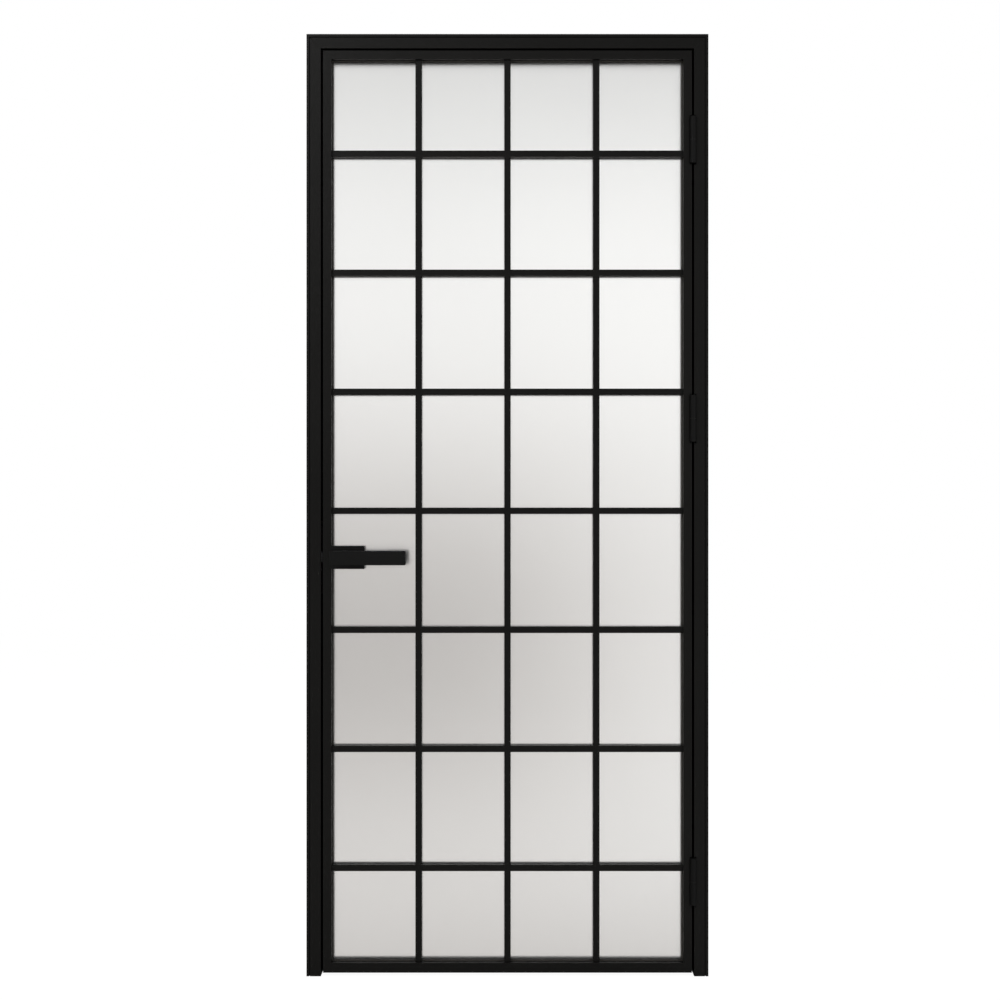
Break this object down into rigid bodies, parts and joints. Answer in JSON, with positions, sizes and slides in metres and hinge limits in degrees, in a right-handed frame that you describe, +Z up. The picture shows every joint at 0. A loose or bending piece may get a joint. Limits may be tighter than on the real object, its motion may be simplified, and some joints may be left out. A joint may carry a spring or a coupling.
{
  "type": "frosted glass swing door",
  "caption": "Single swing door with a slim black metal frame, a frosted glass leaf divided by glazing bars, barrel hinges and a flat lever handle on a lock box.",
  "frame": {"origin": "on the outer flat face of the hinge jamb, at the floor, in the middle of the frame's depth", "axes": "+X out of the hinge jamb's outer face, along the door's width; +Y away from the viewer, towards the side that the leaf doesn't open to; +Z up"},
  "size_m": [0.9, 0.135, 2.11],
  "materials": {
    "black_frame": "matt black powder coat",
    "handle_metal": "matt black powder coat",
    "hinge_metal": "satin black",
    "steel_pin": "ground steel",
    "lock_steel": "brushed stainless steel",
    "frosted_glass": "satin etched, translucent white",
    "black_rubber": "matt extruded rubber"
  },
  "bodies": {
    "frame": {"hinge_jamb": "black_frame", "lock_jamb": "black_frame", "head": "black_frame", "strike_plate": "lock_steel", "hinge_jamb_seal": "black_rubber", "lock_jamb_seal": "black_rubber", "head_seal": "black_rubber", "top_hinge_jamb_knuckle": "hinge_metal", "middle_hinge_jamb_knuckle": "hinge_metal", "bottom_hinge_jamb_knuckle": "hinge_metal", "top_hinge_pin": "steel_pin", "middle_hinge_pin": "steel_pin", "bottom_hinge_pin": "steel_pin"},
    "leaf": {"hinge_stile": "black_frame", "lock_stile": "black_frame", "top_rail": "black_frame", "bottom_rail": "black_frame", "glass_pane": "frosted_glass", "front_gasket": "black_rubber", "back_gasket": "black_rubber", "bottom_bead": "black_frame", "top_bead": "black_frame", "hinge_bead": "black_frame", "lock_bead": "black_frame", "upright_bar_1": "black_frame", "upright_bar_2": "black_frame", "upright_bar_3": "black_frame", "cross_bar_1": "black_frame", "cross_bar_2": "black_frame", "cross_bar_3": "black_frame", "cross_bar_4": "black_frame", "cross_bar_5": "black_frame", "cross_bar_6": "black_frame", "cross_bar_7": "black_frame", "top_hinge_leaf_knuckle": "hinge_metal", "middle_hinge_leaf_knuckle": "hinge_metal", "bottom_hinge_leaf_knuckle": "hinge_metal", "lock_box": "handle_metal", "latch_faceplate": "lock_steel", "latch_bolt": "lock_steel"},
    "handle": {"spindle": "lock_steel", "front_lever": "handle_metal", "back_lever": "handle_metal"}
  },
  "joints": [
    {"name": "leaf_hinge", "type": "hinge", "parent": "frame", "child": "leaf", "pos_m": [-0.0345, -0.043, 0], "axis": [0, 0, 1], "range_deg": [0, 170]},
    {"name": "handle_turn", "type": "hinge", "parent": "leaf", "child": "handle", "pos_m": [-0.8074, -0.0175, 0.9378], "axis": [0, 1, 0], "range_deg": [0, 45], "stiffness_Nm_per_rad": 1.5, "springref_deg": -34.38}
  ]
}
